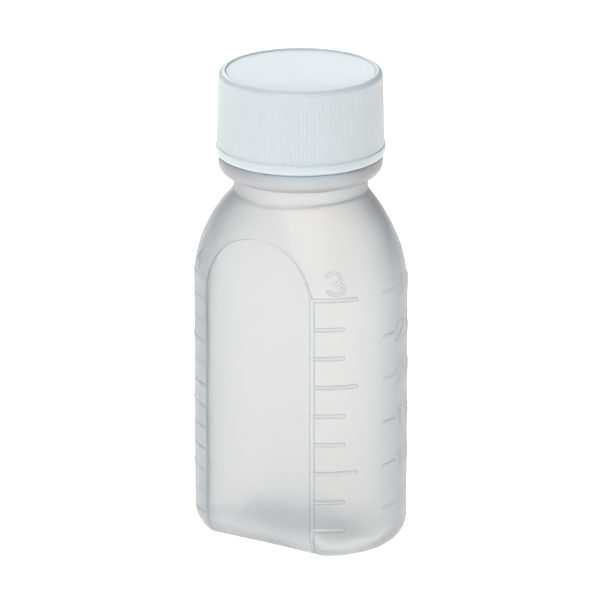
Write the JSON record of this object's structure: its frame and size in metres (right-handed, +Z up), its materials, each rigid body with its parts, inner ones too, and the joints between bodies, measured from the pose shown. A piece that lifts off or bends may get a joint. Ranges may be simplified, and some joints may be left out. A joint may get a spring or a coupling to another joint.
{
  "type": "graduated dispensing bottle",
  "caption": "Small oval blow-moulded bottle with a graduated wall, two arched flat label panels and a ribbed screw cap over a soft sealing liner.",
  "frame": {"origin": "middle of the base, on the plane that the bottle stands on", "axes": "+Z up through the neck, +X across the wide side, label panels face -Y and +Y"},
  "size_m": [0.0364, 0.0274, 0.0786],
  "materials": {
    "natural_polypropylene": "blow-moulded, milky translucent, satin",
    "foamed_polyethylene": "die-cut soft foam, matte white",
    "natural_polyethylene": "injection-moulded, translucent bluish white, satin"
  },
  "bodies": {
    "bottle": {"bottle": "natural_polypropylene"},
    "liner": {"sealing_liner": "foamed_polyethylene"},
    "cap": {"screw_cap": "natural_polyethylene"}
  },
  "joints": [
    {"name": "cap_lift", "type": "slide", "parent": "bottle", "child": "liner", "axis": [0, 0, 1], "range_m": [0, 0.0048]},
    {"name": "cap_turn", "type": "hinge", "parent": "liner", "child": "cap", "pos_m": [0, 0, 0.0771], "axis": [0, 0, 1], "range_deg": [0, 540]}
  ],
  "couplings": [
    {"joint": "cap_lift", "follows": "cap_turn", "m_per_rad": 0.00050532}
  ]
}
